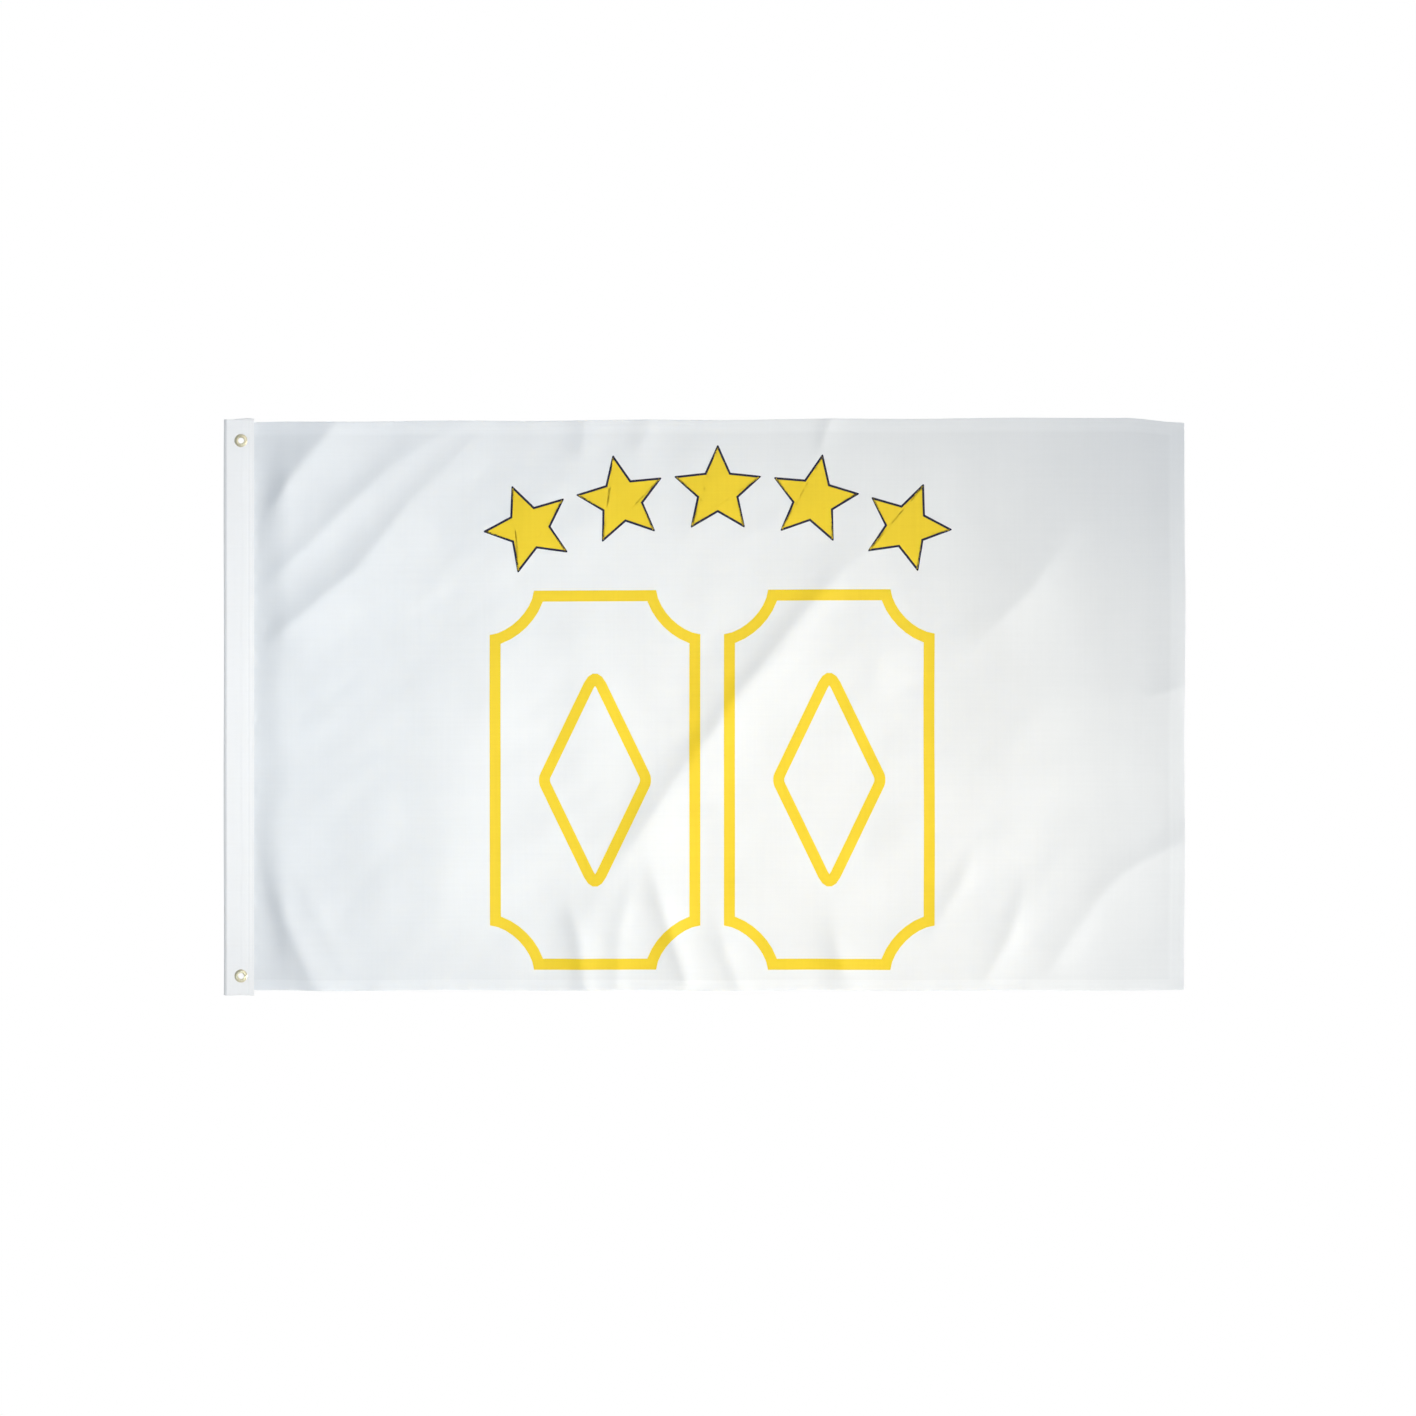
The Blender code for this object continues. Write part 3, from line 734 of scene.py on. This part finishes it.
gold_inks = (
    ink("gold_ink", (0.800, 0.545, 0.010), (0.905, 0.655, 0.020), 0.50),
    ink("gold_ink_back", (0.790, 0.600, 0.130), (0.880, 0.710, 0.200), 0.55),
)
navy_inks = (
    ink("navy_ink", (0.0035, 0.0035, 0.022), (0.0065, 0.0065, 0.040), 0.55),
    ink("navy_ink_back", (0.060, 0.065, 0.140), (0.095, 0.100, 0.190), 0.58),
)

stars, edges = [], []
for step in range(-2, 3):
    star = flat_shape(10, (STAR_RADIUS, STAR_RADIUS))
    select_where(star, lambda p: round(math.degrees(math.atan2(p.x, p.y)) / 36) % 2 == 1)
    bpy.ops.transform.resize(value=(STAR_WAIST, STAR_WAIST, 1), center_override=(0, 0, 0))
    select_where(star, lambda p: p.length > STAR_RADIUS * 0.9)
    bpy.ops.mesh.bevel(offset=STAR_TIP_CUT, segments=3, affect="VERTICES")
    bpy.ops.mesh.select_all(action="SELECT")
    bpy.ops.mesh.inset(thickness=EDGE_LINE, depth=0)
    bpy.ops.mesh.separate(type="SELECTED")
    turn = -step * ARCH_STEP
    arch_x = print_x + ARCH_SHIFT - ARCH_RADIUS * math.sin(turn)
    place = (arch_x, arch_z - ARCH_RADIUS * (1 - math.cos(turn)))
    inside = [o for o in bpy.context.selected_objects if o != star][0]
    settle_shape(star, place, turn)
    settle_shape(inside, place, turn)
    stars.append(inside)
    edges.append(star)
printed = soak_in(joined(stars), "print_stars", gold_inks)
printed += soak_in(joined(edges), "print_star_edges", navy_inks)

outlines = []
for side in (-1, 1):
    place = (print_x + side * PANEL_APART / 2, panel_z)
    bpy.ops.mesh.primitive_plane_add(size=1)
    panel = bpy.context.object
    bpy.ops.object.mode_set(mode="EDIT")
    bpy.ops.transform.resize(value=(PANEL_WIDE, PANEL_TALL, 1), center_override=(0, 0, 0))
    bpy.ops.mesh.bevel(offset=PANEL_CORNER, segments=8, profile=PANEL_HOLLOW, affect="VERTICES")
    bpy.ops.mesh.select_all(action="SELECT")
    bpy.ops.mesh.inset(thickness=STROKE, depth=0)
    bpy.ops.mesh.delete(type="FACE")
    settle_shape(panel, place)
    lozenge = flat_shape(4, (LOZENGE_WIDE, LOZENGE_TALL))
    select_where(lozenge, lambda p: abs(p.y) > LOZENGE_TALL * 0.99)
    bpy.ops.mesh.bevel(offset=TALL_TIP_CUT, segments=5, affect="VERTICES")
    select_where(lozenge, lambda p: abs(p.x) > LOZENGE_WIDE * 0.99)
    bpy.ops.mesh.bevel(offset=WIDE_TIP_CUT, segments=5, affect="VERTICES")
    bpy.ops.mesh.select_all(action="SELECT")
    bpy.ops.mesh.inset(thickness=STROKE, depth=0)
    bpy.ops.mesh.delete(type="FACE")
    settle_shape(lozenge, place)
    outlines += [panel, lozenge]
printed += soak_in(joined(outlines), "print_outlines", gold_inks)
bpy.ops.object.select_all(action="DESELECT")


# The header: a white canvas tape, folded lengthwise over the raw hoist edge of the cloth and
# sewn through with two rows. The fold is soft, so its edge rounds away, and the back ply was
# cut a little longer than the front one and shows beyond it at both ends.
CANVAS = 0.0006
FOLD_DEEP = 0.0055
HEADER_ROWS = (0.003, 0.0086)
BACK_PLY_LONGER = 0.0019
GROMMET_HOLE = 0.00550
FOLD_STEPS = 10
CANVAS_THREADS, CANVAS_SLUB = 1050, 0.34
TAPE_PITCH, ROUND_GROMMET = 0.0026, 0.018

tape_low, tape_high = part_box("header_tape")
ply_out = tape_high.y - CANVAS / 2
fold_x = tape_low.x + FOLD_DEEP
grommet_x = 0.0


def tape_relief(x, z):
    """How far the header's face stands out at a point, beyond its flat form."""
    out = 0.00010 * np.sin(z * 31 + 1.0) * np.sin(x * 90 + z * 5)
    out = out + 0.00008 * np.sin(z * 74 + x * 60 + 2.0)
    # the cloth's edge inside shows as a step, ridged in places
    out = out + 0.00012 * eased((x - tucked_x + 0.001) / 0.002)
    broken = 0.5 + 0.5 * np.sin(z * 43 + 2.2 * np.sin(z * 17))
    out = out + 0.00016 * broken * np.exp(-(((x - tucked_x) / 0.0012) ** 2))
    # the rows and the grommets pull the plies together
    for row in HEADER_ROWS:
        out = out - 0.00017 * np.clip(1 - np.abs(header_edge_x - x - row) / 0.0013, 0, 1)
    for height in grommet_heights:
        r = np.hypot(x - grommet_x, z - height)
        turn = np.arctan2(z - height, x - grommet_x)
        out = out - 0.00022 * np.exp(-(((r - 0.0100) / 0.0035) ** 2))
        out = out + 0.00009 * np.cos(7 * turn + 1) * np.exp(-np.clip(r - 0.0105, 0, 1) / 0.005)
    return out


tape_across = spaced(
    [fold_x, tucked_x - 0.0014, tucked_x, tucked_x + 0.0014, header_edge_x]
    + [header_edge_x - m for m in row_marks(HEADER_ROWS)],
    TAPE_PITCH,
)
upper, lower = grommet_heights
stops = [tape_low.z, lower - ROUND_GROMMET, lower + ROUND_GROMMET]
stops += [upper - ROUND_GROMMET, upper + ROUND_GROMMET, tape_high.z]
pitches = (0.004, 0.0024, 0.0048, 0.0024, 0.004)
parts = [spaced(ends, pitch) for ends, pitch in zip(zip(stops, stops[1:]), pitches)]
tape_down = np.unique(np.concatenate(parts).round(7))

bpy.ops.mesh.primitive_grid_add(
    x_subdivisions=len(tape_across) - 1, y_subdivisions=len(tape_down) - 1, size=1
)
header = bpy.context.object
header.name = "folded_header"
spot = coordinates(header)
column = np.rint((spot[:, 0] + 0.5) * (len(tape_across) - 1)).astype(int)
line = np.rint((spot[:, 1] + 0.5) * (len(tape_down) - 1)).astype(int)
spot = np.stack([tape_across[column], np.full(len(spot), -ply_out), tape_down[line]], axis=1)
header.data.vertices.foreach_set("co", spot.ravel())
header.data.update()
# round the fold, and then the back ply, as wide as the front one
select_where(header, lambda p: p.x < fold_x + NEAR, "EDGE")
previous = Vector((0, -ply_out, 0))
for step in range(1, FOLD_STEPS + 1):
    a = math.pi * step / FOLD_STEPS
    place = Vector((-(FOLD_DEEP - CANVAS / 2) * math.sin(a), -ply_out * math.cos(a), 0))
    pull_out(place - previous)
    previous = place
for near, far in zip(tape_across, tape_across[1:]):
    pull_out((float(far - near), 0, 0))
bpy.ops.object.mode_set(mode="OBJECT")

# its relief, its uneven cut ends, and a fold that isn't quite straight
spot = coordinates(header)
lay_threads(header, spot)
behind = eased((spot[:, 1] / ply_out + 1) / 2)
relief = tape_relief(spot[:, 0], spot[:, 2]) * np.abs(spot[:, 1]) / ply_out
skew = eased((spot[:, 0] + 0.014) / 0.008) * (0.8 + 0.2 * np.sin(spot[:, 0] * 150))
at_top, at_foot = spot[:, 2] > tape_high.z - 1e-4, spot[:, 2] < tape_low.z + 1e-4
spot[:, 2] += at_top * (behind * skew * BACK_PLY_LONGER + 0.0002 * np.sin(spot[:, 0] * 200))
spot[:, 2] += at_foot * ((1 - behind) * BACK_PLY_LONGER + 0.0002 * np.sin(spot[:, 0] * 170 + 1))
spot[:, 1] += np.where(spot[:, 1] < 0, -relief, relief * 0.7)
spot[:, 0] += 0.0003 * np.sin(spot[:, 2] * 14) * eased((fold_x - spot[:, 0]) / FOLD_DEEP)
header.data.vertices.foreach_set("co", spot.ravel())
header.data.update()
walls = header.modifiers.new("canvas", "SOLIDIFY")
walls.thickness, walls.offset, walls.use_even_offset = CANVAS, 0, True
bpy.ops.object.modifier_apply(modifier="canvas")

for height in grommet_heights:
    bpy.ops.mesh.primitive_cylinder_add(
        vertices=48, radius=GROMMET_HOLE, depth=0.02,
        location=(grommet_x, 0, height), rotation=(math.pi / 2, 0, 0),
    )
    punch = bpy.context.object
    hole = header.modifiers.new("hole", "BOOLEAN")
    hole.object, hole.operation = punch, "DIFFERENCE"
    bpy.context.view_layer.objects.active = header
    bpy.ops.object.modifier_apply(modifier="hole")
    bpy.data.objects.remove(punch)
bpy.ops.object.select_all(action="DESELECT")
header.select_set(True)
bpy.ops.object.shade_smooth_by_angle(angle=SOFT_EDGE)

# painted shade: the canvas is painted grey along its rounded fold, most near the hoist edge
white_canvas, shader, tone = woven_material(
    "white_canvas", CANVAS_THREADS, CANVAS_SLUB, (0.905, 0.885, 0.868), (0.985, 0.965, 0.948), 0.72, 0.55
)
place = add_node(white_canvas, "ShaderNodeTexCoord").outputs["Object"]
parts = add_node(white_canvas, "ShaderNodeSeparateXYZ", Vector=place)
patchy = add_node(white_canvas, "ShaderNodeTexNoise", Vector=place, Scale=60.0, Detail=4.0)
painted_shade_reach = add_node(
    white_canvas, "ShaderNodeMapRange", Value=patchy.outputs["Fac"], To_Min=0.0052, To_Max=0.0068
)
from_fold = add_node(
    white_canvas, "ShaderNodeMath", {"operation": "SUBTRACT"}, i0=parts.outputs["X"], i1=tape_low.x
)
# how much painted shade goes in: most within 2.5 mm of the fold's edge, none from about 6 mm in
painted_shade_share = add_node(
    white_canvas, "ShaderNodeMapRange", {"interpolation_type": "SMOOTHSTEP"},
    Value=from_fold.outputs[0], From_Min=0.0025, To_Min=0.85, To_Max=0.0,
)
white_canvas.node_tree.links.new(painted_shade_reach.outputs[0], painted_shade_share.inputs["From Max"])
fold_painted_shade = add_node(white_canvas, "ShaderNodeMix", {"data_type": "RGBA"}, Factor=painted_shade_share.outputs[0])
white_canvas.node_tree.links.new(tone.outputs[2], fold_painted_shade.inputs[6])
fold_painted_shade.inputs[7].default_value = (0.70, 0.69, 0.685, 1)
white_canvas.node_tree.links.new(fold_painted_shade.outputs[2], shader.inputs["Base Color"])
header.data.materials.clear()
header.data.materials.append(white_canvas)
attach(header, "header")
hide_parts("header_tape")
bpy.ops.object.select_all(action="DESELECT")


# The sewing: white polyester thread. A lock stitch shows as a row of short bars, the needle
# thread in front and the bobbin thread at the back, each pulled a little way into the cloth.
STITCH, STITCH_LONG, STITCH_WIDE = 0.0030, 0.0027, 0.00042
ROW_STOP = 0.0015

bpy.ops.mesh.primitive_uv_sphere_add(segments=6, ring_count=5, radius=0.5)
stitch = bpy.context.object
stitch.name = "stitch"
bpy.ops.object.mode_set(mode="EDIT")
bpy.ops.transform.rotate(value=math.pi / 2, orient_axis="Y", center_override=(0, 0, 0))
bpy.ops.transform.resize(value=(STITCH_LONG, STITCH_WIDE * 0.8, STITCH_WIDE), center_override=(0, 0, 0))
select_where(stitch, lambda p: abs(p.x) > STITCH_LONG * 0.3)
bpy.ops.transform.resize(value=(1, 0.75, 0.75), center_override=(0, 0, 0))
bpy.ops.transform.translate(value=(0, 0.00010, 0))
bpy.ops.object.mode_set(mode="OBJECT")

white_thread, shader = new_material("white_thread", specular=0.4)
place = add_node(white_thread, "ShaderNodeTexCoord").outputs["Object"]
twist = add_node(
    white_thread, "ShaderNodeTexWave", {"bands_direction": "DIAGONAL"},
    Vector=place, Scale=420.0, Distortion=1.5, Detail=1.0,
)
fuzz = add_node(white_thread, "ShaderNodeTexNoise", Vector=place, Scale=900.0, Detail=2.0)
# painted shade: the thread's colour is darker in the grooves of its twist, where the bump dips
tone = add_node(white_thread, "ShaderNodeMix", {"data_type": "RGBA"}, Factor=twist.outputs["Fac"])
tone.inputs[6].default_value, tone.inputs[7].default_value = (0.78, 0.785, 0.79, 1), (0.92, 0.92, 0.915, 1)
bump = add_node(white_thread, "ShaderNodeBump", Strength=0.5, Distance=0.0001, Height=twist.outputs["Fac"])
dull = add_node(white_thread, "ShaderNodeMapRange", Value=fuzz.outputs["Fac"], To_Min=0.4, To_Max=0.6)
white_thread.node_tree.links.new(tone.outputs[2], shader.inputs["Base Color"])
white_thread.node_tree.links.new(bump.outputs[0], shader.inputs["Normal"])
white_thread.node_tree.links.new(dull.outputs[0], shader.inputs["Roughness"])
shader.inputs["Sheen Weight"].default_value = 0.15


def sew(name, start, end, depth, on_cloth):
    """One row of stitches from start to end, both (x, z), at a depth behind the flag's middle.

    A row on the cloth is draped with it, and a row on the header follows the header's relief.
    """
    (ax, az), (bx, bz) = start, end
    length, upright_row = math.hypot(bx - ax, bz - az), abs(bz - az) > abs(bx - ax)
    row = stitch.copy()
    row.data = stitch.data.copy()
    row.name = name
    bpy.context.collection.objects.link(row)
    row.data.transform(Matrix.Translation((STITCH_LONG / 2, 0, 0)))
    if depth > 0:
        row.data.transform(Matrix.Rotation(math.pi, 4, "X"))
    bpy.ops.object.select_all(action="DESELECT")
    row.select_set(True)
    bpy.context.view_layer.objects.active = row
    repeat = row.modifiers.new("repeat", "ARRAY")
    repeat.count = int(length / STITCH)
    repeat.use_relative_offset, repeat.use_constant_offset = False, True
    repeat.constant_offset_displace = (STITCH, 0, 0)
    bpy.ops.object.modifier_apply(modifier="repeat")
    if upright_row:
        row.data.transform(Matrix.Rotation(-math.pi / 2, 4, "Y"))
    row.data.transform(Matrix.Translation((ax, depth, az)))
    if on_cloth:
        drape(row)
        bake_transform(row)
    else:
        spot = coordinates(row)
        relief = tape_relief(spot[:, 0], spot[:, 2])
        spot[:, 1] += -relief if depth < 0 else relief * 0.7
        row.data.vertices.foreach_set("co", spot.ravel())
        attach(row, "header")
    bpy.ops.object.shade_smooth()
    row.data.materials.clear()
    row.data.materials.append(white_thread)
    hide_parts(name)
    row.name = name + "_stitches"
    return row


on_face = PLY / 2 - ROW_DENT + 0.00010
low_z, high_z = cloth_foot + ROW_STOP, cloth_top - ROW_STOP
needle_end_x, bobbin_end_x = fly_x - ROW_STOP, fly_x - FLY_HEM_WIDTH - 0.001
hem_stitches = []
for edge, sign, limit in (("top", -1, cloth_top), ("bottom", 1, cloth_foot)):
    for part, row in zip(("edge", "inner"), HEM_ROWS):
        z = limit + sign * row
        start = (seam_x + PAST_SEAM, z)
        name = f"{edge}_hem_{part}"
        hem_stitches += [
            sew(name + "_needle_thread", start, (needle_end_x, z), -on_face, True),
            sew(name + "_bobbin_thread", start, (bobbin_end_x, z), EDGE_NOSE + on_face, True),
        ]
for part, row in zip(("edge", "inner"), FLY_HEM_ROWS):
    x = fly_x - row
    name = f"fly_hem_{part}"
    hem_stitches += [
        sew(name + "_needle_thread", (x, low_z), (x, high_z), -on_face, True),
        sew(name + "_bobbin_thread", (x, low_z), (x, high_z), FLY_NOSE + on_face, True),
    ]
on_canvas = tape_high.y + 0.00006
for part, row in zip(("edge", "inner"), HEADER_ROWS):
    start, end = (header_edge_x - row, tape_low.z + 0.003), (header_edge_x - row, tape_high.z - 0.003)
    sew(f"header_{part}_needle_thread", start, end, -on_canvas, False)
    sew(f"header_{part}_bobbin_thread", start, end, on_canvas, False)
bpy.data.objects.remove(stitch)


# The grommets: pale brass, pressed and turned. An eyelet's flange lies on the front of the
# header, its barrel goes through, and its end is curled over a dished washer at the back.
EYELET = [
    (4.75, 1.70), (4.75, 0.60), (4.75, -0.60), (4.75, -1.50), (4.84, -1.98), (5.12, -2.36),
    (5.60, -2.60), (6.30, -2.70), (7.10, -2.68), (7.95, -2.54), (8.75, -2.28), (9.45, -1.94),
    (9.95, -1.60), (10.22, -1.32), (10.30, -1.16), (10.14, -1.08), (9.60, -1.16), (8.60, -1.56),
    (7.40, -1.86), (6.30, -1.92), (5.62, -1.70), (5.30, -1.30), (5.25, -0.60), (5.25, 0.90),
    (5.25, 1.84), (5.44, 2.08), (5.86, 2.16), (6.30, 2.06), (6.62, 1.96), (6.86, 2.04),
    (6.90, 2.28), (6.66, 2.54), (6.20, 2.71), (5.70, 2.74), (5.22, 2.60), (4.90, 2.30),
]
WASHER = [
    (5.62, 1.18), (7.00, 1.14), (8.50, 1.12), (9.50, 1.12), (9.72, 1.24), (9.75, 1.60),
    (9.75, 2.45), (9.70, 2.75), (9.55, 2.90), (9.30, 2.95), (8.60, 2.95), (7.85, 2.95),
    (7.58, 2.86), (7.40, 2.62), (7.28, 2.24), (7.10, 1.98), (6.80, 1.90), (6.20, 1.88),
    (5.70, 1.86), (5.58, 1.74), (5.56, 1.42),
]


def turned(name, profile, height, node):
    """A ring turned about the grommet's axis from its outline, given as (radius, depth) in millimetres."""
    bpy.ops.mesh.primitive_circle_add(vertices=len(profile), radius=0.01, fill_type="NOTHING")
    ring = bpy.context.object
    ring.name = name
    outline = [(grommet_x + r / 1000, y / 1000, height) for r, y in profile]
    ring.data.vertices.foreach_set("co", np.array(outline).ravel())
    bpy.ops.object.mode_set(mode="EDIT")
    bpy.ops.mesh.select_all(action="SELECT")
    bpy.ops.mesh.spin(steps=64, angle=2 * math.pi, center=(grommet_x, 0, height), axis=(0, 1, 0))
    bpy.ops.mesh.select_all(action="SELECT")
    bpy.ops.mesh.remove_doubles(threshold=0.00002)
    bpy.ops.mesh.normals_make_consistent(inside=False)
    bpy.ops.object.mode_set(mode="OBJECT")
    bpy.ops.object.shade_smooth_by_angle(angle=math.radians(55))
    ring.data.materials.clear()
    ring.data.materials.append(pale_brass)
    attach(ring, "header")
    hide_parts(node)


pale_brass, shader = new_material("pale_brass", metallic=1.0)
place = add_node(pale_brass, "ShaderNodeTexCoord").outputs["Object"]
tarnish = add_node(pale_brass, "ShaderNodeTexNoise", Vector=place, Scale=240.0, Detail=5.0, Roughness=0.65)
specks = add_node(pale_brass, "ShaderNodeTexNoise", Vector=place, Scale=1500.0, Detail=2.0)
drawn = add_node(pale_brass, "ShaderNodeMapping", Vector=place, Scale=(300.0, 300.0, 5200.0)).outputs[0]
scratches = add_node(pale_brass, "ShaderNodeTexNoise", Vector=drawn, Scale=1.0, Detail=3.0)
worn = add_node(
    pale_brass, "ShaderNodeMapRange", Value=tarnish.outputs["Fac"], From_Min=0.35, From_Max=0.68
)
tone = add_node(pale_brass, "ShaderNodeMix", {"data_type": "RGBA"}, Factor=worn.outputs[0])
tone.inputs[6].default_value, tone.inputs[7].default_value = (0.74, 0.64, 0.40, 1), (0.90, 0.82, 0.60, 1)
dull = add_node(pale_brass, "ShaderNodeMapRange", Value=specks.outputs["Fac"], To_Min=0.22, To_Max=0.42)
bump = add_node(
    pale_brass, "ShaderNodeBump", Strength=0.25, Distance=0.00008, Height=scratches.outputs["Fac"]
)
pale_brass.node_tree.links.new(tone.outputs[2], shader.inputs["Base Color"])
pale_brass.node_tree.links.new(dull.outputs[0], shader.inputs["Roughness"])
pale_brass.node_tree.links.new(bump.outputs[0], shader.inputs["Normal"])

for end, height in zip(("top", "bottom"), grommet_heights):
    turned(f"{end}_eyelet", EYELET, height, f"{end}_grommet_eyelet")
    turned(f"{end}_washer", WASHER, height, f"{end}_grommet_washer")
